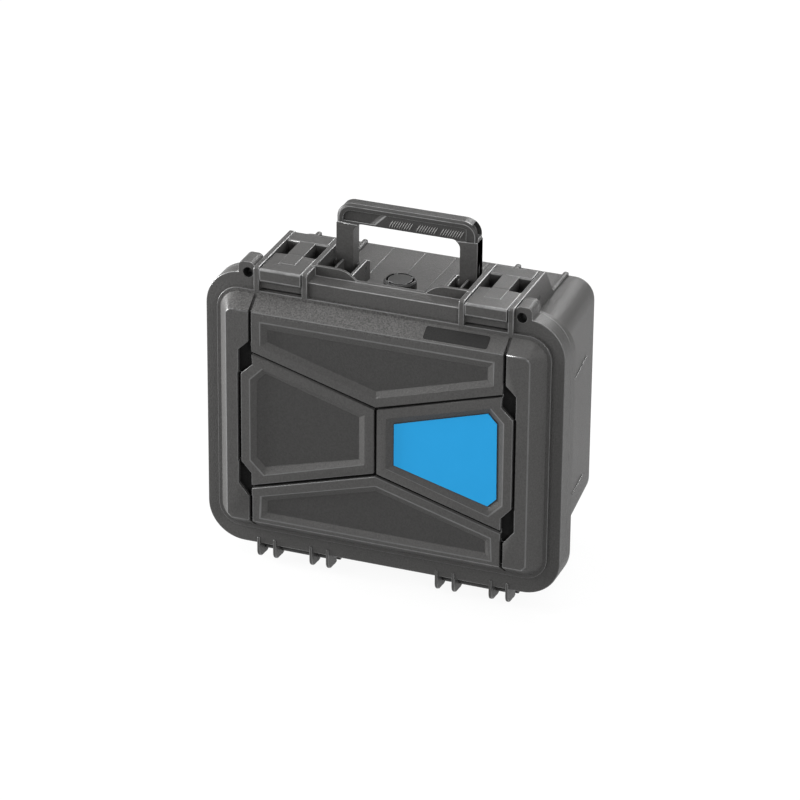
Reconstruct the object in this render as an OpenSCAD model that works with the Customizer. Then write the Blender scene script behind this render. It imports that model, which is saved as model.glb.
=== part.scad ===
// Hard tool case: a moulded lid on a moulded base, joined by two pinned
// knuckle hinges and held by two two-piece latches, with a folding carry
// handle, a pressure valve and two bare plates.
// Units are millimetres. X runs across the width, Y from the lid to the back
// and Z up. The modules work from the middle of the flange (x = 0, z = 0) with
// y = 0 on the front of the lid flange; stand() moves them to the floor.

/* [Case] */
// Width over the lid and base flanges
case_width = 336; // [330:1:342]
// Height over the flanges
case_height = 267.3; // [262.3:1:272.3]
// Corner radius of the flanges
flange_radius = 35; // [31:1:38]
// Depth of the lid flange, front to back
lid_flange_depth = 16.5; // [15.5:0.5:17.5]
// Depth of the base flange at the sides
base_flange_depth = 11.7; // [10.7:0.5:12.7]
// Depth of the base flange along the top
top_flange_depth = 4.7; // [4.2:0.5:6.2]
// Depth of the base box behind its flange
base_box_depth = 128.6; // [118.6:1:134.6]
// Moulded wall thickness
wall = 3; // [2.6:0.1:3.4]
// Corner radius of the base box
box_radius = 20; // [16:1:24]
// Rounding of the back edge of the base box
back_radius = 12; // [9:1:14]

/* [Lid front] */
// How far the lid front stands out from the flange
dome_depth = 18.5; // [17.5:0.5:19.5]
// Depth of the step at the foot of the lid front
dome_step = 3; // [2.5:0.1:3.5]
// Depth of the sunk fields in the front
field_depth = 3; // [2.5:0.1:3.5]
// Width of the dividing grooves in the front
groove_width = 3; // [2.5:0.1:3.5]
// Depth of the dividing grooves
groove_depth = 4.5; // [3.5:0.1:5]
// Depth of the four pockets where the grooves fork
notch_depth = 5.5; // [4:0.1:6]
// Thickness of the blue front plate
plate_thickness = 0.9; // [0.7:0.1:1.2]

/* [Hinge] */
// Diameter of the steel hinge pins
hinge_pin = 4; // [3.6:0.2:4.4]
// Distance of the hinge axis below the flange
hinge_drop = 6.95; // [6.75:0.1:7.35]
// Radius of the base knuckles
knuckle_radius = 5; // [4.6:0.1:5.2]
// Thickness of the hinge plates
fin_thickness = 2.9; // [2.5:0.1:3.2]

/* [Latches] */
// Width of each latch
latch_width = 38.8; // [37.8:0.5:39.8]
// Width of the raised stem in the middle of the latch
stem_width = 15.2; // [14.2:0.5:16.2]
// Diameter of the pin joining the two latch pieces
link_pin = 3.2; // [3:0.1:3.4]
// Thickness of the rails beside each latch
rail_thickness = 5.5; // [5:0.1:6]

/* [Handle] */
// Outer width of the carry handle
handle_width = 132; // [126:1:138]
// Thickness of the handle, front to back
handle_thickness = 14.5; // [13.5:0.5:14.5]
// Width of each handle arm
arm_width = 16; // [15:0.5:17]
// Gap between a handle arm and the latch rail beside it
handle_gap = 4.5; // [4:0.5:6]
// Height of the handle above the flange
handle_rise = 55.35; // [52.35:1:58.35]
// Height of the grip bar
grip_height = 18.3; // [17.3:0.5:19.3]
// Diameter of the steel pins through handle, rails and latch arms
pivot_pin = 5; // [4.6:0.2:5.2]

/* [Valve] */
// Radius of the valve cap
valve_radius = 14.7; // [13.7:0.5:15.2]
// Distance of the valve behind the parting face
valve_setback = 24.7; // [23.7:0.5:25.7]
// Diameter of the vent hole through the valve body
vent_hole = 3.6; // [3:0.2:3.8]

/* [Hidden] */
$fn = 48;

anthracite = [0.17, 0.175, 0.185];
dark = [0.11, 0.113, 0.12];
rubber_black = [0.04, 0.04, 0.042];
steel = [0.62, 0.63, 0.65];
blue = [0.02, 0.25, 0.66];

eps = 0.02;
run_fit = 0.05;
big = 400;
half_w = case_width / 2;
half_h = case_height / 2;
part_y = lid_flange_depth;
flange_back = part_y + base_flange_depth;
top_back = part_y + top_flange_depth;
back_y = flange_back + base_box_depth;
front_y = -dome_depth;
floor_drop = 18.95;
floor_z = -half_h - floor_drop;
middle_y = (front_y + back_y) / 2;

// base box outline at its mouth and at its back
box_side = half_w - 14.8;
box_top = half_h - 21;
box_bottom = -half_h + 16.2;
side_draft = 7.7;
top_draft = 2.2;
bottom_draft = 10.4;

// lid front outlines: foot, shoulder above the step, and front face
foot_side = half_w - 11.5;
foot_top = half_h - 14.35;
foot_bottom = -half_h + 16.1;
foot_radius = 22;
shoulder_inset = 3.6;
face_side = half_w - 26;
face_top = half_h - 28.65;
face_bottom = -half_h + 31.65;
face_corner = 4;

// shares of the panel drawn for a 336 x 267.3 case
sx = case_width / 336;
sz = case_height / 267.3;

// latch place, outwards from the handle
rail_clear = 0.4;
rail_in = latch_width / 2 + rail_clear;
rail_out = rail_in + rail_thickness;
handle_half = handle_width / 2;
latch_x = handle_half + handle_gap + rail_out;

// padlock ears
ear_width = 15.4;
ear_inner = latch_x + rail_out + 0.3;
ear_outer = ear_inner + ear_width;
ear_top = half_h + 10.5;
ear_back = top_back + 0.7;
ear_radius = 5;
ear_hole = 4.7;
ear_hole_x = ear_inner + 6.2;
ear_hole_z = half_h + 0.4;

// latch heights and lengths
rail_top = half_h + 8.75;
rail_back = part_y + 64.5;
rail_foot = part_y + 89.5;
pivot_y = part_y + 48;
pivot_z = half_h - 9.65;
stem_round = 7.8;
claw_top = half_h + 8.5;
link_y = part_y + 20;
link_z = claw_top - stem_round;
claw_edge = half_h + 7.5;
emboss_step = 0.45;
claw_under = half_h + 4.55;
claw_front = -4.2;
claw_bar = 3.8;
claw_back = part_y + 17.2;
claw_tip = link_y - 3.6;
claw_gap = 0.5;
claw_low = half_h - 5.15;
emboss_front = part_y - 4;
lip_top = half_h + 3.95;
lip_slot = 1.6;
rib_top = half_h + 8.5;
bar_front = part_y + 44.7;
bar_back = part_y + 63.5;
bar_under = half_h + 4.35;
tongue_half = 4;
tongue_gap = 0.2;

// humps on the base flange beside the latches
hump_end = latch_x - rail_out + 0.5;
hump_thickness = 3.2;
hump_drop = [[14, 0], [18, 0.35], [21, 1], [24, 2], [27, 3.6], [30, 5.8],
  [33, 8.2], [36, 10.6]];

// hinge
axis_y = part_y;
axis_z = -half_h - hinge_drop;
fin_reach = floor_drop - hinge_drop - 2.7;
fin_x = [latch_x - 43.5, latch_x - 27.5, latch_x + 7.9, latch_x + 23.4];
knuckle_gap = 0.3;
nose_reach = floor_drop - hinge_drop + 0.9;
hook_front = -1;
hook_radius = 8.5;

// handle
handle_y0 = pivot_y - 9;
handle_y1 = handle_y0 + handle_thickness;
handle_mid = (handle_y0 + handle_y1) / 2;
handle_top = half_h + handle_rise;
grip_low = handle_top - grip_height;
plate_out = handle_half - arm_width - 5.5;
plate_in = plate_out - 3.5;
stop_x0 = handle_half - 8.2;
stop_x1 = handle_half - 6;
hub_side = 0.5;

// valve
valve_y = part_y + valve_setback;
boss_top = box_top + 8.4;
valve_top = box_top + 19;

module stand() {
  translate([0, -middle_y, -floor_z])
    children();
}

// --- drawing helpers ---

// a drawing in x and z, given depth from y0 to y1
module deep(y0, y1) {
  translate([0, y1, 0])
    rotate([90, 0, 0])
      linear_extrude(height = y1 - y0)
        children();
}

// a drawing in y and z, given width from x0 to x1
module wide(x0, x1) {
  translate([x0, 0, 0])
    rotate([90, 0, 90])
      linear_extrude(height = x1 - x0)
        children();
}

// a round bar along x through (y, z)
module bar_x(x0, x1, y, z, r) {
  translate([x0, y, z])
    rotate([0, 90, 0])
      cylinder(h = x1 - x0, r = r);
}

// a round bar along y through (x, z)
module bar_y(y0, y1, x, z, r) {
  translate([x, y1, z])
    rotate([90, 0, 0])
      cylinder(h = y1 - y0, r = r);
}

// a box given by its corners
module block(x0, x1, y0, y1, z0, z1) {
  translate([x0, y0, z0])
    cube([x1 - x0, y1 - y0, z1 - z0]);
}

// a rectangle from its edges with round corners
module round_field(x0, x1, z0, z1, r) {
  translate([x0 + r, z0])
    square([x1 - x0 - 2 * r, z1 - z0]);
  translate([x0, z0 + r])
    square([x1 - x0, z1 - z0 - 2 * r]);
  for (x = [x0 + r, x1 - r])
    for (z = [z0 + r, z1 - r])
      translate([x, z])
        circle(r = r);
}

// a rectangle from its edges with cut corners
module cut_field(x0, x1, z0, z1, c) {
  polygon([[x0 + c, z0], [x1 - c, z0], [x1, z0 + c], [x1, z1 - c],
    [x1 - c, z1], [x0 + c, z1], [x0, z1 - c], [x0, z0 + c]]);
}

// a straight strip between two points
module strip(p, q, w) {
  dx = q[0] - p[0];
  dz = q[1] - p[1];
  translate(p)
    rotate([0, 0, atan2(dz, dx)])
      translate([0, -w / 2])
        square([sqrt(dx * dx + dz * dz), w]);
}

// both sides of a symmetric detail
module both() {
  children();
  mirror([1, 0, 0])
    children();
}

// --- base shell ---

// drafted box with a rounded back; grow is negative for the inside
module drafted_box(y0, grow) {
  r = box_radius + grow;
  rb = back_radius + grow;
  yb = back_y + grow;
  hull() {
    deep(y0, y0 + eps)
      round_field(-box_side - grow, box_side + grow, box_bottom - grow,
        box_top + grow, r);
    for (x = [-1, 1])
      for (z = [box_bottom - grow + bottom_draft + r,
        box_top + grow - top_draft - r])
        translate([x * (box_side + grow - side_draft - r), yb - rb, z])
          rotate([90, 0, 0])
            rotate_extrude($fn = 40)
              translate([r - rb, 0])
                intersection() {
                  circle(r = rb, $fn = 40);
                  translate([0, -rb])
                    square([rb, 2 * rb]);
                }
  }
}

module ear(y0, y1) {
  deep(y0, y1)
    intersection() {
      round_field(ear_inner, ear_outer, half_h - 40, ear_top, ear_radius);
      translate([ear_inner, half_h - 16])
        square([ear_width, 40]);
    }
}

// height of the base box top at a given y
function box_top_at(y) =
  box_top - top_draft * (y - part_y - 1) / (back_y - part_y - 1);

// low mould line along the base top
module top_line(x) {
  y0 = top_back - 1;
  y1 = back_y - back_radius;
  wide(x - 0.4, x + 0.4)
    polygon([[y0, box_top_at(y0) - 1], [y0, box_top_at(y0) + 0.4],
      [y1, box_top_at(y1) + 0.4], [y1, box_top_at(y1) - 1]]);
}

module ear_eyes() {
  both()
    bar_y(-1, flange_back + 1, ear_hole_x, ear_hole_z, ear_hole);
}

module rail(x0, x1) {
  wide(x0, x1)
    difference() {
      polygon([[part_y, box_top - wall / 2], [part_y, rail_top],
        [rail_back, rail_top], [rail_foot, box_top - wall / 2]]);
      translate([pivot_y, pivot_z])
        circle(r = pivot_pin / 2 + run_fit);
    }
}

module handle_bracket() {
  back = pivot_y + 10;
  wide(plate_in, plate_out)
    difference() {
      polygon([[top_back - 1, box_top - wall / 2],
        [top_back - 1, half_h - 1.5], [pivot_y + 3, half_h - 1.5],
        [back, half_h - 5], [back + 0.5, box_top - wall / 2]]);
      translate([pivot_y, pivot_z])
        circle(r = pivot_pin / 2 + run_fit);
    }
  wide(stop_x0, stop_x1)
    polygon([[top_back - 1, box_top - wall / 2],
      [top_back - 1, half_h + 2.3], [handle_y0 - 1.8, half_h + 2.3],
      [handle_y0 - 0.3, half_h + 0.8], [handle_y0 - 0.3, box_top - wall / 2]]);
}

module hump() {
  deep(top_back - hump_thickness, top_back)
    polygon(concat([[hump_end, half_h - 1.85], [hump_end, rail_top]],
      [for (p = hump_drop) [handle_half - p[0], rail_top - p[1]]]));
}

// base flange, deep at the sides and drawn in towards the top
module base_flange() {
  difference() {
    deep(part_y, flange_back)
      round_field(-half_w, half_w, -half_h, half_h, flange_radius);
    wide(-half_w - 1, half_w + 1)
      polygon([[top_back, half_h + 1], [top_back, half_h],
        [flange_back, half_h - flange_radius], [flange_back + 1,
        half_h - flange_radius], [flange_back + 1, half_h + 1]]);
  }
}

// x of the base side wall at a given y
function box_side_at(y) =
  box_side - side_draft * (y - part_y - 1) / (back_y - part_y - 1);

// low mould line on the side wall between two points in y and z
module side_line(p, q) {
  dy = q[0] - p[0];
  dz = q[1] - p[1];
  translate([box_side_at(p[0]) - 1, p[0], p[1]])
    rotate([0, 0, atan2(side_draft, back_y - part_y - 1)])
      rotate([atan2(dz, dy), 0, 0])
        translate([0, 0, -0.4])
          cube([1.4, sqrt(dy * dy + dz * dz), 0.8]);
}

// sector of a disc around the hinge axis, from angle a0 to a1
module sector(r, a0, a1) {
  n = 12;
  polygon(concat([[axis_y, axis_z]],
    [for (i = [0:n])
      let (a = a0 + (a1 - a0) * i / n)
        [axis_y + r * cos(a) / cos((a1 - a0) / n / 2),
          axis_z + r * sin(a) / cos((a1 - a0) / n / 2)]]));
}

module foot_plate(x) {
  wide(x - fin_thickness / 2, x + fin_thickness / 2)
    difference() {
      polygon([[flange_back + 0.6, floor_z], [flange_back + 0.6, axis_z - 6],
        [axis_y + 5.5, axis_z - 6], [axis_y + 5.5, -half_h + 1],
        [flange_back, -half_h + 1], [flange_back, box_bottom + 2],
        [foot_back, box_bottom + bottom_draft], [foot_back, floor_z]]);
      translate([axis_y, axis_z])
        circle(r = nose_reach);
      translate([axis_y - 30, axis_z])
        square([32, 30]);
    }
}

foot_back = part_y + 98.5;
foot_front = flange_back + 0.6;

module base_foot() {
  for (x = fin_x)
    foot_plate(x);
  block(fin_x[0], fin_x[3], foot_front, foot_back, floor_z, floor_z + wall);
  block(fin_x[0], fin_x[3], foot_front, foot_front + wall, floor_z,
    box_bottom + 2);
}

module knuckle(x0, x1) {
  difference() {
    union() {
      bar_x(x0, x1, axis_y, axis_z, knuckle_radius);
      block(x0, x1, axis_y, flange_back, axis_z, -half_h + 1);
      wide(x0, x1)
        polygon([[axis_y, axis_z - knuckle_radius],
          [axis_y, axis_z], [flange_back, axis_z],
          [flange_back, axis_z - knuckle_radius]]);
    }
    bar_x(x0 - 1, x1 + 1, axis_y, axis_z, hinge_pin / 2 + run_fit);
  }
}

module knuckles() {
  edge = fin_thickness / 2 + knuckle_gap;
  for (i = [0:2])
    knuckle(fin_x[i] + edge, fin_x[i + 1] - edge);
}

module base_side() {
  ear(part_y, ear_back);
  rail(latch_x - rail_out, latch_x - rail_in);
  rail(latch_x + rail_in, latch_x + rail_out);
  handle_bracket();
  hump();
  top_line(14.5 * sx);
  top_line(45 * sx);
  side_line([83.6, 40.7 * sz], [124, 46.3 * sz]);
  side_line([87.4, -74.7 * sz], [120.9, -71.5 * sz]);
  base_foot();
  knuckles();
  for (x = [latch_x - 22.3, latch_x + 22.5])
    intersection() {
      bar_y(rail_foot - 4, back_y - 10, x, box_top - 2.2, 3.6);
      block(x - 2.5, x + 2.5, rail_foot - 4, back_y - 10, box_top - 5,
        box_top + 5);
    }
}

module base_shell() {
  color(anthracite)
    difference() {
      union() {
        base_flange();
        drafted_box(part_y + 1, 0);
        both()
          base_side();
        translate([0, valve_y, box_top - wall / 2])
          cylinder(h = boss_top - box_top + wall / 2, r = valve_radius + 1.3);
      }
      drafted_box(part_y - eps, -wall);
      translate([0, valve_y, box_top - 3 * wall])
        cylinder(h = 40, r = 8 + run_fit);
      translate([0, valve_y, boss_top])
        cylinder(h = 40, r = valve_radius + 0.7);
      ear_eyes();
    }
}

// --- lid shell ---

upper_field = [[-109.2, 96.3], [-109.5, 73.5], [0, 41.6], [109.5, 73.5],
  [109.2, 96.3]];
upper_floor = [[-102.7, 88.6], [-102.7, 77.5], [0, 47.8], [102.7, 77.5],
  [102.7, 88.6]];
side_field = [[10, 24], [107, 51.5], [119.3, 38.8], [119.3, -41],
  [106.2, -54], [10, -25.5]];
side_floor = [[16.3, 19.2], [105, 45.6], [113, 37], [113.6, -37.8],
  [105.3, -46.2], [16.3, -22]];
lower_field = [[0, -44.3], [109, -75.3], [110, -98], [-110, -98],
  [-109, -75.3]];
lower_floor = [[0, -51], [103, -80.3], [103.4, -92], [-103.4, -92],
  [-103, -80.3]];
upper_notch = [[119.5, 77], [129.9, 66.5], [129.9, 43], [128.2, 43],
  [116.8, 54], [117.3, 64.5], [117.9, 77]];
lower_notch = [[130.2, -43], [128.2, -43], [118.3, -54], [118, -72.8],
  [118, -78], [120.6, -78], [130.5, -65.5]];

function placed(list) = [for (p = list) [p[0] * sx, p[1] * sz]];

module sunk_field(edge, flat) {
  hull() {
    deep(front_y - 0.1, front_y)
      polygon(placed(edge));
    deep(front_y + field_depth - eps, front_y + field_depth)
      polygon(placed(flat));
  }
}

module groove(p, q) {
  deep(front_y - 1, front_y + groove_depth)
    strip([p[0] * sx, p[1] * sz], [q[0] * sx, q[1] * sz], groove_width);
}

// groove running from the front face over the top or bottom bevel
module bevel_groove(s, face, foot) {
  wide(119 * sx - groove_width / 2, 119 * sx + groove_width / 2)
    polygon([[front_y - 1, s * 76 * sz], [front_y + groove_depth, s * 76 * sz],
      [front_y + groove_depth, s * (face - 1)],
      [-dome_step, s * (foot - shoulder_inset - 0.45 * groove_depth)],
      [-dome_step, s * (foot - shoulder_inset + 1)],
      [front_y - 1, s * (foot - shoulder_inset + 1)]]);
}

module panel_cuts() {
  sunk_field(upper_field, upper_floor);
  sunk_field(lower_field, lower_floor);
  both() {
    sunk_field(side_field, side_floor);
    deep(front_y - 1, front_y + notch_depth) {
      polygon(placed(upper_notch));
      polygon(placed(lower_notch));
    }
    groove([129.3, 44], [129.3, -44]);
    groove([117.5, 65.4], [0, 31.7]);
    groove([118.5, -67.8], [0, -33.5]);
    bevel_groove(1, face_top, foot_top);
    bevel_groove(-1, -face_bottom, -foot_bottom);
  }
  groove([0, 33], [0, -34.8]);
}

module dome() {
  deep(-dome_step, 1)
    round_field(-foot_side, foot_side, foot_bottom, foot_top, foot_radius);
  i = shoulder_inset;
  hull() {
    deep(-dome_step - eps, -dome_step)
      round_field(-foot_side + i, foot_side - i, foot_bottom + i,
        foot_top - i, foot_radius - i);
    deep(front_y, front_y + eps)
      cut_field(-face_side, face_side, face_bottom, face_top, face_corner);
  }
}

module lid_hollow() {
  deep(-eps, part_y + 1)
    round_field(-box_side + wall, box_side - wall, box_bottom + wall,
      box_top - wall, box_radius - wall);
  hull() {
    deep(-2 * eps, 0)
      round_field(-box_side + wall, box_side - wall, box_bottom + wall,
        box_top - wall - 0.5, box_radius - wall);
    deep(front_y + 2 * wall + 1, front_y + 2 * wall + 1 + eps)
      cut_field(-face_side + 1, face_side - 1, face_bottom + 3,
        face_top - 4, face_corner);
  }
}

module lid_rib(x0, x1) {
  y0 = -3.4;
  r = 3;
  wide(x0, x1) {
    translate([y0 + r, foot_top - 2])
      square([part_y - y0 - r, rib_top - foot_top + 2]);
    translate([y0, foot_top - 1])
      square([r + 1, rib_top - r - foot_top + 1]);
    translate([y0 + r, rib_top - r])
      circle(r = r);
  }
}

module fin(x) {
  wide(x - fin_thickness / 2, x + fin_thickness / 2)
    difference() {
      union() {
        translate([axis_y, axis_z])
          circle(r = hinge_drop - 0.45);
        intersection() {
          translate([axis_y, axis_z])
            circle(r = fin_reach);
          sector(fin_reach + 2, 165, 297);
        }
        translate([hook_front + hook_radius, axis_z])
          circle(r = hook_radius);
        polygon([[hook_front, -half_h + 6.2], [hook_front, axis_z],
          [axis_y, axis_z], [axis_y - 1, -half_h + 1],
          [axis_y - 5, -half_h + 6.2]]);
        polygon([[hook_front + hook_radius, axis_z - hook_radius],
          [axis_y - 0.3 * fin_reach, axis_z - 0.953 * fin_reach],
          [axis_y, axis_z], [hook_front + hook_radius, axis_z]]);
      }
      translate([axis_y, axis_z])
        circle(r = hinge_pin / 2 + run_fit);
    }
}

seal_inset = 7;
seal_width = 5;
seal_depth = 4;

module seal_ring(side, depth0, depth1, grow) {
  deep(depth0, depth1)
    difference() {
      round_field(-half_w + side - grow, half_w - side + grow,
        -half_h + side - grow, half_h - side + grow,
        flange_radius - side + grow);
      round_field(-half_w + side + seal_width + grow,
        half_w - side - seal_width - grow,
        -half_h + side + seal_width + grow,
        half_h - side - seal_width - grow,
        flange_radius - side - seal_width - grow);
    }
}

name_x0 = 42.4 * sx;
name_x1 = 101.4 * sx;
bevel_run = dome_depth - dome_step;
bevel_rise = foot_top - shoulder_inset - face_top;
bevel_length = sqrt(bevel_run * bevel_run + bevel_rise * bevel_rise);
bevel_angle = atan2(bevel_rise, bevel_run);
name_from = 2.9;
name_to = bevel_length - 2.9;

// plate lying on the top bevel of the lid front, from depth d0 to d1
module on_bevel(d0, d1, grow) {
  translate([0, front_y, face_top])
    rotate([bevel_angle, 0, 0])
      translate([0, 0, d0])
        linear_extrude(height = d1 - d0)
          round_field(name_x0 - grow, name_x1 + grow, name_from - grow,
            name_to + grow, 2 + grow);
}

module lid_side() {
  ear(0, part_y);
  lid_rib(latch_x - rail_out, latch_x - rail_in - 0.3);
  lid_rib(latch_x + rail_in + 0.3, latch_x + rail_out);
  block(latch_x - rail_in - 1, latch_x + rail_in + 1, 0, part_y,
    half_h - 2, lip_top);
  for (x = fin_x)
    fin(x);
}

module lid_shell() {
  color(anthracite)
    difference() {
      union() {
        deep(0, part_y)
          round_field(-half_w, half_w, -half_h, half_h, flange_radius);
        dome();
        both()
          lid_side();
      }
      lid_hollow();
      panel_cuts();
      both()
        block(latch_x - rail_in - 0.3, latch_x + rail_in + 0.3, -1, 7,
          foot_top + 0.1, foot_top + 0.1 + lip_slot);
      ear_eyes();
      seal_ring(seal_inset, part_y - seal_depth, part_y + 1, 0.1);
      on_bevel(-0.8, 5, 0.15);
    }
}

module lid_seal() {
  color(rubber_black)
    seal_ring(seal_inset, part_y - seal_depth, part_y, -0.1);
}

// --- hinge pins ---

module hinge_pin_right() {
  color(steel)
    bar_x(fin_x[0] - fin_thickness / 2, fin_x[3] + fin_thickness / 2,
      axis_y, axis_z, hinge_pin / 2);
}

module hinge_pin_left() {
  mirror([1, 0, 0])
    hinge_pin_right();
}

// --- latches ---

// round nose of the stem with the slot for the claw's tongue under its skin
module tongue_slot() {
  wide(latch_x - tongue_half - tongue_gap, latch_x + tongue_half + tongue_gap) {
    translate([link_y, link_z])
      circle(r = 5.8);
    polygon([[link_y, link_z], [link_y - 3.4, link_z + stem_round + 0.3],
      [link_y - 12, link_z + stem_round + 0.3],
      [link_y - 12, link_z - 9], [link_y, link_z - 9]]);
  }
}

module latch_arm_right() {
  x0 = latch_x - latch_width / 2;
  x1 = latch_x + latch_width / 2;
  s = stem_width / 2;
  color(dark)
    difference() {
      union() {
        bar_x(x0, x1, pivot_y, pivot_z, 6);
        wide(x0, x1)
          polygon([[bar_front, pivot_z], [bar_front, rail_top - 1],
            [bar_front + 1, rail_top], [bar_back - 1, rail_top],
            [bar_back, rail_top - 1], [bar_back, bar_under],
            [pivot_y + 6, bar_under - 1], [pivot_y + 5, pivot_z]]);
        bar_x(latch_x - s, latch_x + s, link_y, link_z, stem_round);
        wide(latch_x - s, latch_x + s)
          polygon([[link_y, claw_top], [bar_front + 2, claw_top],
            [bar_front + 2, pivot_z], [pivot_y - 4, pivot_z],
            [link_y + 4, link_z - 6], [link_y, link_z - 6]]);
      }
      tongue_slot();
      bar_x(latch_x - s - 1, latch_x + s + 1, link_y, link_z,
        link_pin / 2 + run_fit);
      bar_x(x0 - 1, x1 + 1, pivot_y, pivot_z, pivot_pin / 2 + run_fit);
    }
}

module latch_arm_left() {
  mirror([1, 0, 0])
    latch_arm_right();
}

module latch_claw_right() {
  x0 = latch_x - latch_width / 2;
  x1 = latch_x + latch_width / 2;
  s = stem_width / 2;
  color(dark)
    difference() {
      union() {
        difference() {
          union() {
            block(x0, x1, claw_front + 1.2, claw_back, claw_under, claw_edge);
            hull() {
              block(x0, x1, claw_front + 1.2, claw_back, claw_edge - eps,
                claw_edge);
              block(latch_x - s, latch_x + s, emboss_front, claw_back,
                claw_edge, claw_top - emboss_step);
            }
            block(latch_x - s, latch_x + s, emboss_front, claw_tip,
              claw_under, claw_top);
          }
          bar_x(latch_x - s - 0.3, latch_x + s + 0.3, link_y, link_z,
            stem_round + claw_gap);
        }
        wide(x0, x1)
          polygon([[claw_front, claw_low + 1.5], [claw_front, claw_edge - 1.2],
            [claw_front + 1.2, claw_edge], [claw_front + 6, claw_edge],
            [claw_front + 6, claw_under], [claw_front + claw_bar, claw_under],
            [claw_front + claw_bar, claw_low], [claw_front + 1, claw_low]]);
        bar_x(latch_x - tongue_half, latch_x + tongue_half, link_y, link_z,
          4.5);
        wide(latch_x - tongue_half, latch_x + tongue_half)
          polygon([[part_y + 6, claw_under + 0.2],
            [link_y - 7, claw_under + 0.2], [link_y - 3.9, link_z + 2.25],
            [link_y, link_z], [link_y, link_z - 4.4],
            [link_y - 4, link_z - 3.4], [flange_back + 0.7, half_h + 1.2]]);
      }
      bar_x(x0, x1, link_y, link_z, link_pin / 2 + run_fit);
    }
}

module latch_claw_left() {
  mirror([1, 0, 0])
    latch_claw_right();
}

module link_pin_right() {
  color(steel)
    bar_x(latch_x - stem_width / 2, latch_x + stem_width / 2, link_y, link_z,
      link_pin / 2);
}

module link_pin_left() {
  mirror([1, 0, 0])
    link_pin_right();
}

module pivot_pin_right() {
  color(steel)
    bar_x(plate_in, latch_x + rail_out - 0.3, pivot_y, pivot_z,
      pivot_pin / 2);
}

module pivot_pin_left() {
  mirror([1, 0, 0])
    pivot_pin_right();
}

// --- handle ---

// outline of the handle in x and z: two arms and the bar between them
module handle_outline(inset) {
  r = 14;
  ri = 8;
  a = handle_half - inset;
  b = handle_half - arm_width + inset;
  t = handle_top - inset;
  g = grip_low + inset;
  difference() {
    union() {
      translate([-a, pivot_z])
        square([2 * a, t - pivot_z - r]);
      translate([-a + r, pivot_z])
        square([2 * a - 2 * r, t - pivot_z]);
      for (x = [-a + r, a - r])
        translate([x, t - r])
          circle(r = r);
    }
    translate([-b, pivot_z - 1])
      square([2 * b, g - pivot_z + 1 - ri]);
    translate([-b + ri, pivot_z - 1])
      square([2 * b - 2 * ri, g - pivot_z + 1]);
    for (x = [-b + ri, b - ri])
      translate([x, g - ri])
        circle(r = ri);
  }
}

split_outer = handle_top - 18;
split_inner = handle_top - 19.4;
corner = 14;
grip_rim = 6.3;
grip_dip = 0.5;
grip_scoop = 1.3;
dip_end = handle_half - 10.8;
scoop_end = -handle_half + 41;

// outer contour of the handle, moved inwards
module outer_contour(inset) {
  r = corner - inset;
  a = handle_half - inset;
  t = handle_top - inset;
  translate([-a, pivot_z])
    square([2 * a, t - pivot_z - r]);
  translate([-a + r, pivot_z])
    square([2 * a - 2 * r, t - pivot_z]);
  for (x = [-a + r, a - r])
    translate([x, t - r])
      circle(r = r);
}

// sunk front of the grip with a deeper scoop that ends in a slanted ramp
module grip_front() {
  deep(handle_y0 - 1, handle_y0 + grip_dip)
    intersection() {
      outer_contour(grip_rim);
      translate([-handle_half, grip_low - 1.5])
        square([handle_half + dip_end, grip_height + 2]);
    }
  intersection() {
    deep(handle_y0 - 1, handle_y0 + 3)
      intersection() {
        outer_contour(grip_rim);
        translate([-handle_half, grip_low + 2])
          square([handle_half + 10, grip_height]);
      }
    translate([scoop_end, 0, handle_top - 11])
      rotate([0, 45, 0])
        translate([0, 0, -60])
          linear_extrude(height = 120)
            polygon([[-90, handle_y0 - 2], [5, handle_y0 - 2],
              [0.5, handle_y0 + grip_dip],
              [-3, handle_y0 + grip_dip + grip_scoop],
              [-90, handle_y0 + grip_dip + grip_scoop]]);
  }
}

// open corner of the channel at the upper outer end of the grip
module corner_window() {
  both()
    deep(handle_y0 + 2, handle_y1 - 1.5)
      difference() {
        translate([handle_half - corner, handle_top - corner])
          polygon([[0, 0], [corner + 2, -1], [corner + 2, corner + 2],
            [0.75 * corner, corner]]);
        outer_contour(4.5);
      }
}

// the part of the outline that the grip cover takes
module grip_zone() {
  a = handle_half + 1;
  b = handle_half - arm_width - 4.5;
  polygon([[-a, split_outer], [-b, split_inner], [-b, grip_low - 7],
    [b, grip_low - 7], [b, split_inner], [a, split_outer],
    [a, handle_top + 1], [-a, handle_top + 1]]);
}

core_inset = 3;

module handle_core() {
  deep(handle_y0 + core_inset, handle_y1 - core_inset)
    handle_outline(core_inset);
}

module handle_frame() {
  color(anthracite)
    difference() {
      union() {
        deep(handle_y0, handle_y1)
          difference() {
            handle_outline(0);
            grip_zone();
          }
        handle_core();
        both() {
          bar_x(handle_half - arm_width, handle_half, handle_mid, pivot_z,
            handle_thickness / 2);
          bar_x(plate_out + hub_side, latch_x - rail_out - hub_side,
            pivot_y, pivot_z, 5);
        }
      }
      both() {
        bar_x(plate_out - 1, latch_x, pivot_y, pivot_z,
          pivot_pin / 2 + run_fit);
        for (y = [handle_y0 + 1.5, handle_mid + 0.6])
          deep(y, y + handle_thickness / 2 - 2.1)
            translate([handle_half - 5, pivot_z + 8])
              square([6, split_outer - pivot_z - 9]);
      }
      corner_window();
    }
}

module handle_grip() {
  color(dark)
    difference() {
      deep(handle_y0, handle_y1)
        intersection() {
          handle_outline(0);
          grip_zone();
        }
      deep(handle_y0 + core_inset - 0.05, handle_y1 - core_inset + 0.05)
        handle_outline(core_inset - 0.05);
      grip_front();
      corner_window();
    }
}

// --- valve ---

seal_height = 1.5;
flange_low = boss_top + seal_height;
cup_floor = flange_low + 3;
cap_low = valve_top - 3;

module at_valve() {
  translate([0, valve_y, 0])
    children();
}

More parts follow.
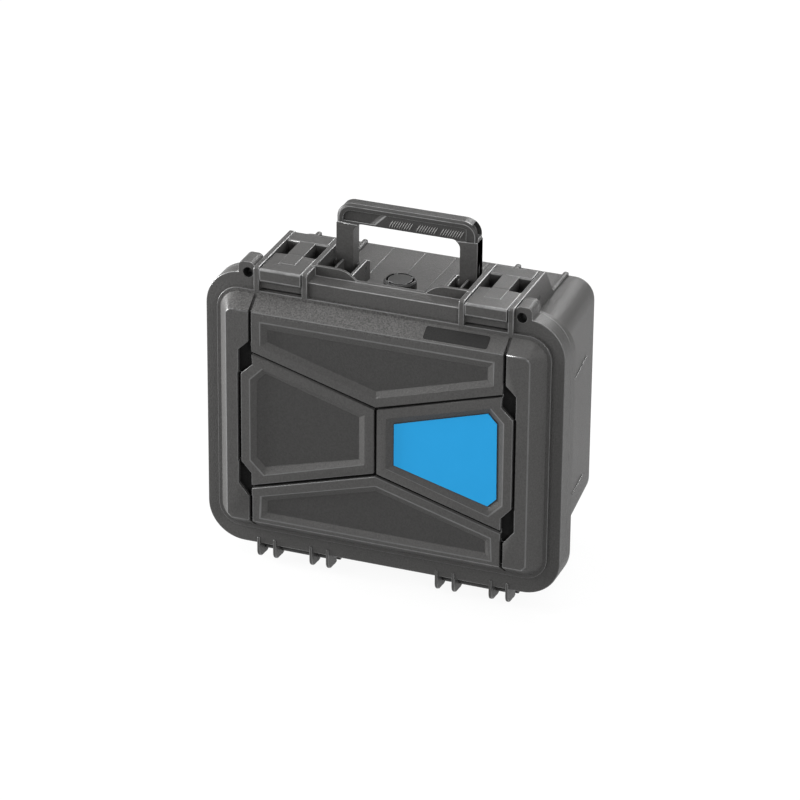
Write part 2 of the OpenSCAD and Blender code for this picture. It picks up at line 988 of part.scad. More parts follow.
module valve_body() {
  color(dark)
    at_valve()
      difference() {
        union() {
          translate([0, 0, flange_low])
            cylinder(h = cap_low - flange_low, r = valve_radius);
          translate([0, 0, box_top - 4 * wall])
            cylinder(h = flange_low - box_top + 4 * wall + 1, r = 8);
        }
        translate([0, 0, cup_floor])
          cylinder(h = 20, r = valve_radius - 2);
        translate([0, 0, box_top - 5 * wall])
          cylinder(h = 60, r = vent_hole / 2);
      }
}

module valve_cap() {
  r1 = valve_radius - 4;
  r2 = valve_radius - 2;
  color(dark)
    at_valve()
      difference() {
        rotate_extrude()
          polygon([[0, cap_low], [valve_radius, cap_low],
            [valve_radius, valve_top - 1.2], [valve_radius - 1.2, valve_top],
            [0, valve_top]]);
        for (a = [0:90:270])
          rotate([0, 0, a - 5.5])
            intersection() {
              difference() {
                translate([0, 0, cap_low - 1])
                  cylinder(h = 10, r = r2);
                translate([0, 0, cap_low - 2])
                  cylinder(h = 12, r = r1);
              }
              translate([0, 0, cap_low - 1])
                linear_extrude(height = 10)
                  polygon([[0, 0], [30, -23], [30, 23]]);
            }
      }
}

module valve_membrane() {
  color(rubber_black)
    at_valve()
      translate([0, 0, cup_floor])
        cylinder(h = 0.8, r = 9);
}

module valve_seal() {
  color(rubber_black)
    at_valve()
      difference() {
        translate([0, 0, boss_top])
          cylinder(h = seal_height, r = 12);
        translate([0, 0, boss_top - 1])
          cylinder(h = seal_height + 2, r = 8 + run_fit);
      }
}

module valve_nut() {
  top = box_top - wall - 0.8;
  color(dark)
    at_valve()
      difference() {
        translate([0, 0, top - 6])
          linear_extrude(height = 6)
            polygon([for (a = [0:60:300]) [13 * cos(a), 13 * sin(a)]]);
        translate([0, 0, top - 7])
          cylinder(h = 8, r = 8 + run_fit);
      }
}

// --- plates ---

plate_outline = [[16.8, 18.7], [104.1, 45], [112.3, 36.3], [113, -37],
  [104.9, -45.4], [16.8, -21.6]];

module front_plate() {
  y1 = front_y + field_depth;
  color(blue)
    deep(y1 - plate_thickness, y1)
      polygon(placed(plate_outline));
}

module name_plate() {
  color(dark)
    on_bevel(-0.8, 0.2, 0);
}

stand() {
  base_shell();
  lid_shell();
  lid_seal();
  hinge_pin_left();
  hinge_pin_right();
  latch_arm_left();
  latch_arm_right();
  latch_claw_left();
  latch_claw_right();
  link_pin_left();
  link_pin_right();
  pivot_pin_left();
  pivot_pin_right();
  handle_frame();
  handle_grip();
  valve_body();
  valve_cap();
  valve_membrane();
  valve_seal();
  valve_nut();
  front_plate();
  name_plate();
}
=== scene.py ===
"""Hard tool case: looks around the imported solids. Lengths in mm carry the factor MM."""

import math

import bmesh
import bpy
import numpy as np
from mathutils import Matrix, Vector
from mathutils.bvhtree import BVHTree


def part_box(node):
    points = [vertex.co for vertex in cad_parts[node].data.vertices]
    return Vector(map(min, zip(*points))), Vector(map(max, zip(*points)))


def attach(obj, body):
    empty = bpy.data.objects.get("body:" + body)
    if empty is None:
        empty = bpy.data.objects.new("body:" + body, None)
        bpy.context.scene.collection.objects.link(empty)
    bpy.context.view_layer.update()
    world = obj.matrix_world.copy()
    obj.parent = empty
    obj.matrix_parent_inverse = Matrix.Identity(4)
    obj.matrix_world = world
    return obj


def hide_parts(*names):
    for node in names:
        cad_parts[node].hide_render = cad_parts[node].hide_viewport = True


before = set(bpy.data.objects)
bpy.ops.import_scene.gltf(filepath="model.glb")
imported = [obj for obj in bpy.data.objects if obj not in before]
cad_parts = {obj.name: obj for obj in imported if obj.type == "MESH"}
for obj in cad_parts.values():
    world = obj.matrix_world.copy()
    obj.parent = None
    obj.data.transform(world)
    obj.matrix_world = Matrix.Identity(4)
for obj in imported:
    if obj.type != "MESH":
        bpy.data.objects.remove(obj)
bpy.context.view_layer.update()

MM = 0.001


# --- camera ---

CAMERA_AZIMUTH = math.radians(20.56)
CAMERA_HEIGHT = math.radians(26.22)
CAMERA_ROLL = math.radians(0.52)
CAMERA_DISTANCE = 3.786
CAMERA_TARGET = Vector((16.18, -69.15, 187.66)) * MM
CAMERA_LENS = 193.95


def set_camera():
    """Looks at the target from the given azimuth and height, turned by a small roll."""
    azimuth, height, roll = CAMERA_AZIMUTH, CAMERA_HEIGHT, CAMERA_ROLL
    back = Vector((math.sin(azimuth) * math.cos(height), -math.cos(azimuth) * math.cos(height),
                   math.sin(height)))
    level_right = Vector((math.cos(azimuth), math.sin(azimuth), 0.0))
    level_up = back.cross(level_right)
    right = level_right * math.cos(roll) + level_up * math.sin(roll)
    up = level_up * math.cos(roll) - level_right * math.sin(roll)
    data = bpy.data.cameras.new("camera")
    data.lens = CAMERA_LENS
    data.sensor_width = 36.0
    data.clip_start = 0.1
    data.clip_end = 50.0
    camera = bpy.data.objects.new("camera", data)
    bpy.context.scene.collection.objects.link(camera)
    turn = Matrix((right, up, back)).transposed().to_4x4()
    camera.matrix_world = Matrix.Translation(CAMERA_TARGET + back * CAMERA_DISTANCE) @ turn
    bpy.context.scene.camera = camera


set_camera()


# --- shader maths ---

class Wire:
    """An output socket. Arithmetic on it adds Math nodes to its tree."""

    def __init__(self, finish, socket):
        self.finish = finish
        self.socket = socket

    def math(self, operation, *values):
        return self.finish.node("ShaderNodeMath", {"operation": operation}, self, *values)

    def __add__(self, other):
        return self.math("ADD", other)

    def __sub__(self, other):
        return self.math("SUBTRACT", other)

    def __rsub__(self, other):
        return self.finish.node("ShaderNodeMath", {"operation": "SUBTRACT"}, other, self)

    def __mul__(self, other):
        return self.math("MULTIPLY", other)

    def __abs__(self):
        return self.math("ABSOLUTE")

    __radd__ = __add__
    __rmul__ = __mul__


def find_socket(sockets, key):
    """A socket by its number, its identifier, or its name with _ for each space."""
    if isinstance(key, int):
        return sockets[key]
    by_identifier = {socket.identifier: socket for socket in sockets}
    return by_identifier[key] if key in by_identifier else sockets[key.replace("_", " ")]


COAT_ROUGHNESS = 0.24


class Finish:
    """A material whose nodes are added by one method."""

    def __init__(self, name, roughness, metallic=0.0, specular=0.5, coat=0.0):
        self.material = bpy.data.materials.new(name)
        self.material.use_nodes = True
        self.tree = self.material.node_tree
        self.shader = self.tree.nodes["Principled BSDF"]
        self.shader.inputs["Roughness"].default_value = roughness
        self.shader.inputs["Metallic"].default_value = metallic
        self.shader.inputs["Specular IOR Level"].default_value = specular
        self.shader.inputs["Coat Weight"].default_value = coat
        self.shader.inputs["Coat Roughness"].default_value = COAT_ROUGHNESS

    def node(self, kind, settings=None, *values, output=0, **named):
        """Adds a node: its settings first, then values or wires on its sockets.

        Returns the wire of one output, or a list where output is a tuple.
        """
        made = self.tree.nodes.new(kind)
        for key, value in (settings or {}).items():
            setattr(made, key, value)
        for key, value in [*enumerate(values), *named.items()]:
            socket = find_socket(made.inputs, key)
            if isinstance(value, Wire):
                self.tree.links.new(value.socket, socket)
            else:
                socket.default_value = value
        if isinstance(output, tuple):
            return [Wire(self, find_socket(made.outputs, key)) for key in output]
        return Wire(self, find_socket(made.outputs, output))

    def place(self):
        return self.node("ShaderNodeTexCoord", output="Object")

    def axes(self):
        """The three Object coordinates as wires."""
        return self.node("ShaderNodeSeparateXYZ", None, self.place(), output=("X", "Y", "Z"))

    def noise(self, scale, detail=2.0, rough=0.5):
        return self.node("ShaderNodeTexNoise", None, Vector=self.place(), Scale=scale,
                         Detail=detail, Roughness=rough)

    def ramp(self, value, low, high):
        """0 up to low, 1 from high, straight between them."""
        return self.node("ShaderNodeMapRange", None, Value=value, From_Min=low, From_Max=high)

    def band(self, value, low, high, soft):
        """1 where the value is between low and high, falling to 0 over soft outside."""
        return self.ramp(value, low - soft, low) * (1 - self.ramp(value, high, high + soft))

    def mix(self, share, first, second):
        """A colour between two colours or wires."""
        return self.node("ShaderNodeMix", {"data_type": "RGBA"}, output="Result_Color",
                         Factor_Float=share, A_Color=first, B_Color=second)

    def feed(self, name, wire):
        self.tree.links.new(wire.socket, self.shader.inputs[name])

    def bump(self, height, strength, depth):
        self.feed("Normal", self.node("ShaderNodeBump", None, Height=height,
                                      Strength=strength, Distance=depth))


def grey(value, warm=0.0):
    return (value * (1 + warm), value, value * (1 - warm), 1.0)


# --- painted shade in the hollow parts and painted glints on the plastics ---

# the valve stands on the middle line, so its cap reaches one radius to the right
cap_low, cap_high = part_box("valve_cap")
VALVE_Y = (cap_low[1] + cap_high[1]) / 2
SLOT_RING = (cap_high[0] - 4.3 * MM, cap_high[0] - 1.7 * MM)
SLOT_HEIGHT = (200 * MM, cap_high[2] - 0.25 * MM)
lid_low, lid_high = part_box("lid_shell")
GROOVE_DEPTH = (lid_low[1] + 3.55 * MM, lid_low[1] + 9.65 * MM)
GROOVED_HEIGHT = (50 * MM, 257 * MM)
GROOVED_WIDTH = 131 * MM
EYE_X = lid_high[0] - 40.4 * MM
EYE_Z = lid_high[2] - 10.1 * MM
EYE_RADIUS = 4.7 * MM
EYE_LIP = 0.15 * MM
BEVEL_HEIGHT = (256 * MM, 272 * MM)
BEVEL_DEPTH = (-90 * MM, -70 * MM)
# where painted glints and shade specks of the grain go on the top bevel
GLINT_WIDTH = (-128 * MM, 20 * MM)
GLINT_SHARE = 0.6


def distance(first, second):
    """How far off a point is, from its two offsets at right angles."""
    return (first * first + second * second).math("SQRT")


def valve_slot_shade(finish):
    """1 in a ring around the valve's middle, from inside the case to just below the top of its
    cap, where the slots are and shade is painted in them.
    """
    across, deep, high = finish.axes()
    ring = finish.band(distance(across, deep - VALVE_Y), *SLOT_RING, 0.1 * MM)
    return ring * finish.band(high, *SLOT_HEIGHT, 0.1 * MM)


def shell_hollow_shade(finish):
    """Where shade is painted: 1 in the grooves and pockets of the lid's front, inside the
    padlock eyes and around the valve.
    """
    across, deep, high = finish.axes()
    grooves = (finish.band(deep, *GROOVE_DEPTH, 0.9 * MM)
               * finish.band(across, -GROOVED_WIDTH, GROOVED_WIDTH, 0.5 * MM)
               * finish.band(high, *GROOVED_HEIGHT, 1 * MM))
    from_eye = distance(abs(across) - EYE_X, high - EYE_Z)
    eyes = finish.band(from_eye, -1 * MM, EYE_RADIUS + EYE_LIP, 0.1 * MM)
    return grooves + valve_slot_shade(finish) + eyes


def bevel_glints(finish):
    """The share of painted glints and shade specks, where grazing light shows the grain: most
    on the left of the lid's top bevel.
    """
    across, deep, high = finish.axes()
    return (finish.band(high, *BEVEL_HEIGHT, 2 * MM) * finish.band(deep, *BEVEL_DEPTH, 2 * MM)
            * finish.band(across, *GLINT_WIDTH, 60 * MM) * GLINT_SHARE)


# --- finishes ---

SHELL_TONE = 0.062
WARMTH = 0.02


def moulded(name, tone, roughness, grain, specular=0.25, coat=0.06, hollow_shade=None, glint_speckle=None):
    """Moulded plastic: fine spark-eroded grain, pale flecks and slow flow marks under a thin
    satin skin. Shade is painted dark and dull in recesses, and glints and shade specks are
    painted coarsely where grazing light shows the grain.
    """
    finish = Finish(name, roughness, specular=specular, coat=coat)
    pebble = finish.noise(1150.0, rough=0.55)
    fleck = finish.ramp(finish.noise(620.0, detail=3.0, rough=0.7), 0.38, 0.62)
    fine = finish.noise(3200.0, detail=1.0)
    flow = finish.noise(14.0, detail=3.0)
    colour = finish.mix(flow * 0.3 + pebble * 0.3 + fleck * 0.4,
                        grey(tone * 0.72, WARMTH), grey(tone * 1.28, WARMTH))
    rough = pebble * 0.16 + flow * 0.08 + (roughness - 0.12)
    if glint_speckle:
        # painted glints and shade specks, as grazing light shows the grain
        speckle = finish.mix(finish.ramp(finish.noise(700.0), 0.35, 0.65),
                             grey(tone * 0.45, WARMTH), grey(tone * 1.75, WARMTH))
        colour = finish.mix(glint_speckle(finish), colour, speckle)
    if hollow_shade:
        hollow = hollow_shade(finish)
        # painted shade: near black and dull in the grooves, eyes and valve slots
        colour = finish.mix(hollow, colour, grey(tone * 0.08))
        rough = rough + hollow * 0.4
        finish.feed("Coat Weight", (1 - hollow) * coat)
    finish.feed("Base Color", colour)
    finish.feed("Roughness", rough)
    finish.bump(fleck * 0.5 + pebble * 0.35 + fine * 0.15, grain, 0.25 * MM)
    return finish.material


def highlit_edge(name, pale, top_highlight):
    """Edges painted pale and smooth as highlights, paler still on the fittings of the top, in
    broken patches.
    """
    finish = Finish(name, 0.34, coat=0.6)
    _, _, high = finish.axes()
    top = finish.ramp(high, 272 * MM, 280 * MM)
    patch = finish.ramp(finish.noise(90.0, detail=4.0, rough=0.6), 0.3, 0.6)
    # painted highlight: the edges turn pale, paler high on the top, where light falls from
    # above
    tone = finish.mix(top, grey(pale), grey(top_highlight))
    finish.feed("Base Color", finish.mix(patch * 0.75 + 0.25, grey(SHELL_TONE), tone))
    finish.feed("Roughness", finish.noise(900.0) * 0.16 + 0.26)
    return finish.material


def make_rubber():
    """Matt black rubber with a fine speck."""
    finish = Finish("seal_rubber", 0.8, specular=0.3)
    speck = finish.noise(900.0, detail=3.0)
    finish.feed("Base Color", finish.mix(speck, grey(0.010), grey(0.020)))
    finish.bump(speck, 0.3, 0.1 * MM)
    return finish.material


def make_steel(name, dark, pale):
    """Turned steel: fine rings around each pin and a slightly uneven sheen."""
    finish = Finish(name, 0.32, metallic=1.0)
    stretched = finish.node("ShaderNodeMapping", None, Vector=finish.place(),
                            Scale=(4000.0, 60.0, 60.0))
    streak = finish.node("ShaderNodeTexNoise", None, Vector=stretched, Scale=1.0, Detail=2.0)
    finish.feed("Base Color", finish.mix(streak, grey(dark), grey(pale)))
    finish.feed("Roughness", streak * 0.2 + 0.22)
    return finish.material


def make_blue():
    """Sheet of an even blue under a thin satin film."""
    finish = Finish("blue_sheet", 0.38, specular=0.2)
    film = finish.noise(60.0, detail=4.0)
    deep_blue, pale_blue = (0.018, 0.345, 0.735, 1.0), (0.022, 0.365, 0.765, 1.0)
    finish.feed("Base Color", finish.mix(film, deep_blue, pale_blue))
    finish.feed("Roughness", film * 0.1 + 0.33)
    finish.bump(finish.noise(1600.0), 0.08, 0.1 * MM)
    return finish.material


shell_plastic = moulded("shell_plastic", SHELL_TONE, roughness=0.46, grain=0.8,
                        hollow_shade=shell_hollow_shade, glint_speckle=bevel_glints)
latch_plastic = moulded("latch_plastic", SHELL_TONE * 0.96, roughness=0.42, grain=0.45)
grip_plastic = moulded("grip_plastic", SHELL_TONE * 0.62, roughness=0.46, grain=0.4)
# painted highlight: the ribs are made pale so they show as lit ticks
rib_highlight_plastic = moulded("rib_highlight_plastic", SHELL_TONE * 3.4, roughness=0.5, grain=0.3)
valve_plastic = moulded("valve_plastic", SHELL_TONE * 0.3, roughness=0.45, grain=0.25,
                        specular=0.3, coat=0.2, hollow_shade=valve_slot_shade)
name_plastic = moulded("name_plastic", SHELL_TONE * 0.2, roughness=0.6, grain=0.2,
                       specular=0.2, coat=0.0, glint_speckle=bevel_glints)
# pale rounded edges painted as highlights
shell_edge_highlight = highlit_edge("shell_edge_highlight", SHELL_TONE * 1.5, SHELL_TONE * 2.8)
latch_edge_highlight = highlit_edge("latch_edge_highlight", SHELL_TONE * 2.0, SHELL_TONE * 3.0)
seal_rubber = make_rubber()
pin_steel = make_steel("pin_steel", 0.50, 0.62)
black_steel = make_steel("black_steel", 0.05, 0.09)
blue_sheet = make_blue()


# --- forms with rounded edges ---

SHARP_EDGE = math.radians(14.0)
FAINT_EDGE = math.radians(2.5)
RUN_TURN = math.radians(40.0)
BROAD_FACE = 7.0 * MM
# the most that a rounding takes of a face or an edge
SHARE_BETWEEN_ROUNDINGS = 0.45
SHARE_TO_PLAIN_SIDE = 0.9
SHARE_OF_LENGTH = 0.85
# shares of the rounding's width, and for a tiny face of its square
LEAST_ROUNDING = 0.12
OFF_THE_FORM = 0.5
TINY_FACE = 0.02
NEAR_A_PLACE = 0.3
# a face is inside out where the cosine between it and the plain form is below this
TURNED_OVER = -0.1
ROUNDING_TRIES = 6


def add_piece(name, mesh, body, material, replaced=()):
    """Puts a mesh in the scene, on its body and the nodes it stands for."""
    piece = bpy.data.objects.new(name, mesh)
    bpy.context.scene.collection.objects.link(piece)
    mesh.materials.append(material)
    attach(piece, body)
    if replaced:
        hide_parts(*replaced)
    return piece


def merged(mesh):
    """A copy of a node's loose triangles as one skin of flat faces."""
    work = bmesh.new()
    work.from_mesh(mesh)
    bmesh.ops.remove_doubles(work, verts=work.verts, dist=2e-6)
    bmesh.ops.dissolve_limit(work, angle_limit=math.radians(0.3), verts=work.verts,
                             edges=work.edges)
    return work


def room_in_face(face, sharp):
    """How far each sharp edge of a flat face may be rounded into it, in metres.

    Lines run from three places on the edge straight across the face to its next side.
    An edge gets a share of the shortest, more where it ends on a side that stays as it
    is, and less where two rounded corners would use up the edge between them.
    """
    loops = list(face.loops)
    start = np.array([loop.vert.co for loop in loops])
    side = np.roll(start, -1, axis=0) - start
    length = np.linalg.norm(side, axis=1)
    side = side / np.maximum(length, 1e-9)[:, None]
    inward = np.cross(np.array(face.normal), side)
    sharp = np.array(sharp)
    share = np.where(sharp, SHARE_BETWEEN_ROUNDINGS, SHARE_TO_PLAIN_SIDE)
    both_sharp = sharp & np.roll(sharp, 1)
    spread = np.array([1.0 / math.tan(max(loop.calc_angle(), 0.05) / 2) if loop.is_convex
                       else 0.0 for loop in loops]) * both_sharp
    room = np.full(len(loops), np.inf)
    for i in np.flatnonzero(sharp):
        along = (start - start[i]) @ side[i]
        across = (start - start[i]) @ inward[i]
        along_next, across_next = np.roll(along, -1), np.roll(across, -1)
        for part in (0.1, 0.5, 0.9):
            at = part * length[i]
            hit = (along - at) * (along_next - at) < 0
            hit[i] = False
            slide = (at - along[hit]) / (along_next[hit] - along[hit])
            height = across[hit] + slide * (across_next[hit] - across[hit])
            ahead = height > 1e-7
            if ahead.any():
                room[i] = min(room[i], (height[ahead] * share[hit][ahead]).min())
        used = spread[i] + spread[(i + 1) % len(loops)]
        if used > 0.05:
            room[i] = min(room[i], SHARE_OF_LENGTH * length[i] / used)
    return loops, room


def edge_runs(work, sharp):
    """Numbers the runs of sharp edges: edges that meet at a small turn are one run."""
    run = list(range(len(work.edges)))

    def first(i):
        while run[i] != i:
            run[i] = run[run[i]]
            i = run[i]
        return i

    for vert in work.verts:
        ends = [(edge.index, (edge.other_vert(vert).co - vert.co).normalized())
                for edge in vert.link_edges if sharp[edge.index]]
        for i, (edge, way) in enumerate(ends):
            for other, other_way in ends[i + 1:]:
                if way.dot(other_way) < -math.cos(RUN_TURN):
                    run[first(edge)] = first(other)
    return np.array([first(i) for i in range(len(run))])


def rounding_shares(work, sharp, run, width):
    """The share of the width that each edge gets: the least room along its run."""
    room = np.full(len(work.edges), width)
    for face in work.faces:
        marks = [bool(sharp[loop.edge.index]) for loop in face.loops]
        if any(marks):
            for loop, free in zip(*room_in_face(face, marks)):
                room[loop.edge.index] = min(room[loop.edge.index], free)
    least = np.full(len(run), np.inf)
    np.minimum.at(least, run, np.where(sharp, room, np.inf))
    share = np.where(sharp, least[run] / width, 0.0)
    share[share < LEAST_ROUNDING] = 0.0
    return share


def shade(work, turn, share):
    """Smooth faces with crisp edges: hollow ones, unrounded ones, and faint ones between
    broad faces.
    """
    for face in work.faces:
        face.smooth = True
    for edge in work.edges:
        bend = turn[edge.index]
        broad = all(face.calc_area() / max(side.calc_length() for side in face.edges)
                    > BROAD_FACE for face in edge.link_faces)
        unrounded = bend > SHARP_EDGE and share[edge.index] == 0
        edge.smooth = not (unrounded or bend < -SHARP_EDGE or broad and abs(bend) > FAINT_EDGE)


def misplaced(piece, tree, width):
    """Places where the rounded form leaves the plain one or is inside out."""
    graph = bpy.context.evaluated_depsgraph_get()
    shape = piece.evaluated_get(graph).to_mesh()
    places = []
    for vert in shape.vertices:
        near, _, _, away = tree.find_nearest(vert.co)
        if away > OFF_THE_FORM * width:
            places += [near, vert.co.copy()]
    for face in shape.polygons:
        if face.area > TINY_FACE * width * width:
            _, normal, _, _ = tree.find_nearest(face.center)
            if normal.dot(face.normal) < TURNED_OVER:
                places.append(face.center.copy())
    return places


def drop_runs(work, places, run, share, width):
    """Takes the rounding off the runs that pass nearest to each of the places."""
    used = np.flatnonzero(share > 0)
    points = np.array([[edge.verts[0].co * (1 - t) + edge.verts[1].co * t
                        for t in (0.0, 0.25, 0.5, 0.75, 1.0)]
                       for edge in (work.edges[i] for i in used)])
    for place in places:
        far = np.linalg.norm(points - np.array(place), axis=2).min(axis=1)
        for i in used[far < far.min() + NEAR_A_PLACE * width]:
            share[run == run[i]] = 0.0


def add_rounding(piece, width):
    bevel = piece.modifiers.new("rounding", "BEVEL")
    bevel.width = width
    bevel.segments = 2
    bevel.limit_method = "WEIGHT"
    bevel.use_clamp_overlap = False
    bevel.face_strength_mode = "FSTR_ALL"
    # the rounding's faces take the second finish, the painted edge highlight
    bevel.material = 1


def add_even_faces(piece):
    flat = piece.modifiers.new("even_faces", "WEIGHTED_NORMAL")
    flat.keep_sharp = True
    flat.use_face_influence = True


def rounded(node, name, body, material, edge_highlight, width, source=None):
    """The node's own form with merged faces and its proud edges rounded, by width in mm or by
    what the faces beside a run of edges have room for. The rounding takes the finish of the
    painted edge highlight, and hollow edges stay crisp. A source mesh stands in for the node's
    own.
    """
    width = width * MM
    work = merged(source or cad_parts[node].data)
    work.edges.index_update()
    work.edges.ensure_lookup_table()
    tree = BVHTree.FromBMesh(work)
    turn = np.array([edge.calc_face_angle_signed(0.0) for edge in work.edges])
    sharp = turn > SHARP_EDGE
    run = edge_runs(work, sharp)
    share = rounding_shares(work, sharp, run, width)
    weight = work.edges.layers.float.new("bevel_weight_edge")
    mesh = bpy.data.meshes.new(name)
    piece = add_piece(name, mesh, body, material, (node,))
    mesh.materials.append(edge_highlight)
    add_rounding(piece, width)
    for _ in range(ROUNDING_TRIES):
        for edge in work.edges:
            edge[weight] = share[edge.index]
        shade(work, turn, share)
        work.to_mesh(mesh)
        places = misplaced(piece, tree, width)
        if not places or not share.any():
            break
        drop_runs(work, places, run, share, width)
    if "custom_normal" in mesh.attributes:
        mesh.attributes.remove(mesh.attributes["custom_normal"])
    work.free()
    add_even_faces(piece)
    return piece


# --- grip ---

grip_low, grip_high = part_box("handle_grip")
GRIP_CORNER = 14.0 * MM
GRIP_ROUND = 3.3 * MM
GRIP_SLACK = 0.12 * MM
ROUND_STEPS = 9
CORNER_STEPS = 25
# ribs: left and right of each patch, then depths below the grip's top and behind its front
RIB_PATCHES = ((-16.5 * MM, 6.5 * MM), (9.0 * MM, 29.0 * MM), (31.0 * MM, 52.5 * MM))
RIB_LOW = 16.6 * MM
RIB_HIGH = 9.4 * MM
RIB_SUNK = 0.5 * MM
RIB_PITCH = 2.3 * MM
RIB_MARGIN = 2.4 * MM
RIB_RADIUS = 0.55 * MM
RIB_LEAN = 0.55
RIB_STEPS = 7
RIB_SIDES = 8


def mesh_of(name, points, faces):
    mesh = bpy.data.meshes.new(name)
    mesh.from_pydata(points.reshape(-1, 3).tolist(), [], faces)
    return mesh


def rounded_bar():
    """A bar with two quarter circles at its upper corners, carried from front to back.

    At each depth the outline is inset by the radius less the height of a quarter circle,
    so both its rims are rounded over. It stands a little proud of the grip's flat faces.
    """
    reach = grip_high[0] + GRIP_SLACK
    top = grip_high[2] + GRIP_SLACK
    corner = GRIP_CORNER + GRIP_SLACK
    low = grip_low[2] - 10 * MM
    turn = np.linspace(0.0, np.pi / 2, ROUND_STEPS)
    inset = GRIP_ROUND * (1 - np.sin(turn))
    depth = GRIP_ROUND * (1 - np.cos(turn))
    inset = np.concatenate([inset, inset[::-1]])
    depth = np.concatenate([grip_low[1] - GRIP_SLACK + depth,
                            grip_high[1] + GRIP_SLACK - depth[::-1]])
    sweep = np.linspace(0.0, np.pi / 2, CORNER_STEPS)
    angle = np.concatenate([np.pi - sweep, np.pi / 2 - sweep])
    centre = np.repeat([corner - reach, reach - corner], CORNER_STEPS)
    bend = corner - inset[:, None]
    x = np.pad(centre + bend * np.cos(angle), ((0, 0), (1, 1)), mode="edge")
    z = np.pad(top - corner + bend * np.sin(angle), ((0, 0), (1, 1)), constant_values=low)
    y = np.broadcast_to(depth[:, None], x.shape)
    at = np.arange(x.size).reshape(x.shape)
    sides = np.stack([at[:-1], at[1:], np.roll(at[1:], -1, 1), np.roll(at[:-1], -1, 1)], -1)
    faces = sides.reshape(-1, 4).tolist() + [at[0].tolist(), at[-1, ::-1].tolist()]
    mesh = mesh_of("rounded_bar", np.stack([x, y, z], axis=-1), faces)
    work = bmesh.new()
    work.from_mesh(mesh)
    bmesh.ops.recalc_face_normals(work, faces=work.faces)
    work.to_mesh(mesh)
    work.free()
    return mesh


def kept_inside(mesh, limit):
    """The part of a mesh that lies inside another, as a new mesh."""
    work = merged(mesh)
    plain = bpy.data.meshes.new("plain")
    work.to_mesh(plain)
    work.free()
    whole = bpy.data.objects.new("cut_plain", plain)
    bound = bpy.data.objects.new("cut_limit", limit)
    for item in (whole, bound):
        bpy.context.scene.collection.objects.link(item)
    cut = whole.modifiers.new("cut", "BOOLEAN")
    cut.operation = "INTERSECT"
    cut.object = bound
    graph = bpy.context.evaluated_depsgraph_get()
    result = bpy.data.meshes.new_from_object(whole.evaluated_get(graph))
    for item in (whole, bound):
        bpy.data.objects.remove(item)
    return result


def grip_ribs():
    """Slanting ribs in three patches on the grip's front, painted pale as highlights.

    Each rib is an ellipse carried along a leaning line. Its half width and half height
    grow from a quarter at both ends to the full size by the square root of a sine.
    """
    low, high = grip_high[2] - RIB_LOW, grip_high[2] - RIB_HIGH
    starts = np.concatenate([np.arange(left, right - RIB_MARGIN, RIB_PITCH)
                             for left, right in RIB_PATCHES])
    along = np.linspace(0.0, 1.0, RIB_STEPS)
    around = np.linspace(0.0, 2 * np.pi, RIB_SIDES, endpoint=False)
    radius = RIB_RADIUS * (0.25 + 0.75 * np.sqrt(np.sin(np.pi * along)))
    rib, step, side = np.meshgrid(np.arange(len(starts)), np.arange(RIB_STEPS),
                                  np.arange(RIB_SIDES), indexing="ij")
    z = low + (high - low) * along[step]
    x = starts[rib] + RIB_LEAN * (z - low) + radius[step] * np.cos(around[side])
    y = grip_low[1] + RIB_SUNK - radius[step] * np.sin(around[side])
    at = np.arange(rib.size).reshape(rib.shape)
    near, far = at[:, :-1], at[:, 1:]
    sides = np.stack([near, np.roll(near, -1, 2), np.roll(far, -1, 2), far], -1)
    caps = np.concatenate([at[:, 0, ::-1], at[:, -1]])
    mesh = mesh_of("grip_ribs", np.stack([x, y, z], axis=-1),
                   sides.reshape(-1, 4).tolist() + caps.tolist())
    mesh.polygons.foreach_set("use_smooth", [True] * len(mesh.polygons))
    return add_piece("grip_ribs", mesh, "handle", rib_highlight_plastic)


# --- pieces ---

rounded("base_shell", "base_moulding", "base", shell_plastic, shell_edge_highlight, 0.8)
rounded("lid_shell", "lid_moulding", "lid", shell_plastic, shell_edge_highlight, 0.8)
rounded("handle_frame", "handle_moulding", "handle", latch_plastic, latch_edge_highlight,
        0.8)
rounded("handle_grip", "grip_cover", "handle", grip_plastic, latch_edge_highlight, 0.6,
        source=kept_inside(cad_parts["handle_grip"].data, rounded_bar()))
for side in ("left", "right"):
    rounded("latch_arm_" + side, "arm_moulding_" + side, "arm_" + side, latch_plastic,
            latch_edge_highlight, 0.7)
    rounded("latch_claw_" + side, "claw_moulding_" + side, "claw_" + side, latch_plastic,
            latch_edge_highlight, 0.9)
rounded("valve_cap", "valve_lid", "base", valve_plastic, latch_edge_highlight, 0.2)
rounded("front_plate", "blue_plate", "lid", blue_sheet, blue_sheet, 0.15)
rounded("name_plate", "bare_plate", "lid", name_plastic, name_plastic, 0.15)
grip_ribs()

# nodes that keep their own mesh
KEPT = {
    "lid_seal": seal_rubber, "valve_membrane": seal_rubber, "valve_seal": seal_rubber,
    "valve_body": valve_plastic, "valve_nut": valve_plastic,
    "hinge_pin_left": pin_steel, "hinge_pin_right": pin_steel,
    "link_pin_left": pin_steel, "link_pin_right": pin_steel,
    "pivot_pin_left": black_steel, "pivot_pin_right": black_steel,
}
for node, material in KEPT.items():
    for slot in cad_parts[node].material_slots:
        slot.material = material


# --- floor and light ---

FLOOR_REACH = 8.0
FLOOR_SHARE = 0.93
FLOOR_BOUNCE = 0.2
FLOOR_WHITE = 0.9
FLOOR_DROP = 0.6 * MM
WORLD_LEVEL = 0.22
AIM = Vector((0.0, 0.0, 0.16))
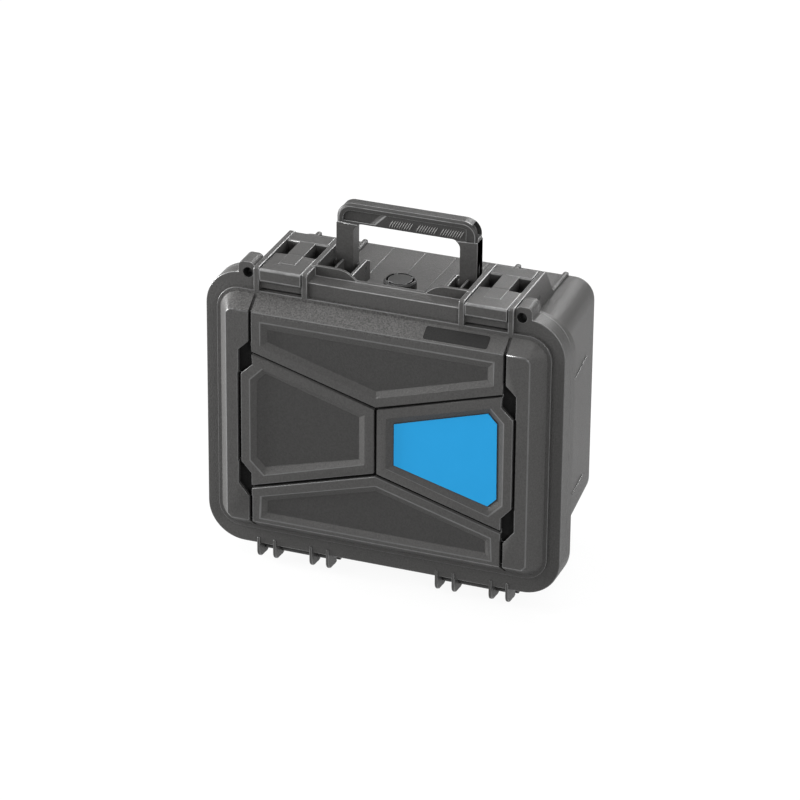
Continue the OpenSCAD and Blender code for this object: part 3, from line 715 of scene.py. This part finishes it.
# name, place, size and power of each lamp
SOFTBOXES = (
    ("top_box", (0.1, 0.3, 2.1), (1.1, 0.9), 20.0),
    ("key_box", (-0.75, -1.0, 2.0), (0.5, 0.5), 8.0),
    ("left_box", (-1.6, -1.0, 1.0), (0.7, 1.0), 22.0),
    ("low_left_box", (-2.0, -0.2, 0.5), (0.5, 0.8), 76.0),
    ("right_box", (2.0, 0.2, 0.8), (0.8, 1.0), 11.0),
    ("front_right_box", (1.5, -1.4, 1.0), (0.5, 0.7), 19.0),
    ("back_box", (0.2, 1.7, 1.5), (1.2, 0.6), 30.0),
)


def make_floor():
    """A floor that shows white to the camera and in reflections, keeps a soft shadow and
    throws little light back up.
    """
    corners = np.array([(-1, -1, 0), (1, -1, 0), (1, 1, 0), (-1, 1, 0)]) * FLOOR_REACH
    mesh = mesh_of("floor", corners, [(0, 1, 2, 3)])
    floor = bpy.data.objects.new("floor", mesh)
    bpy.context.scene.collection.objects.link(floor)
    floor.location.z = -FLOOR_DROP
    finish = Finish("floor_white", 0.9, specular=0.0)
    glow = finish.node("ShaderNodeEmission", None, Color=(1, 1, 1, 1), Strength=1.0)
    camera, glossy, through = finish.node(
        "ShaderNodeLightPath", output=("Is Camera Ray", "Is Glossy Ray", "Is Transmission Ray"))
    seen = camera.math("MAXIMUM", glossy.math("MAXIMUM", through))
    finish.feed("Base Color", finish.mix(seen, grey(FLOOR_BOUNCE), grey(FLOOR_WHITE)))
    matt = Wire(finish, finish.shader.outputs[0])
    surface = finish.node("ShaderNodeMixShader", None, seen * FLOOR_SHARE, matt, glow)
    finish.tree.links.new(surface.socket, finish.tree.nodes["Material Output"].inputs[0])
    mesh.materials.append(finish.material)


def make_world():
    world = bpy.data.worlds.new("studio")
    bpy.context.scene.world = world
    world.use_nodes = True
    back = world.node_tree.nodes["Background"]
    back.inputs["Color"].default_value = (1, 1, 1, 1)
    back.inputs["Strength"].default_value = WORLD_LEVEL


def add_softbox(name, place, size, power):
    data = bpy.data.lights.new(name, "AREA")
    data.shape = "RECTANGLE"
    data.size, data.size_y = size
    data.energy = power
    lamp = bpy.data.objects.new(name, data)
    lamp.location = place
    lamp.rotation_euler = (AIM - Vector(place)).to_track_quat("-Z", "Y").to_euler()
    bpy.context.scene.collection.objects.link(lamp)


make_floor()
make_world()
for softbox in SOFTBOXES:
    add_softbox(*softbox)

bpy.context.scene.view_settings.view_transform = "Standard"
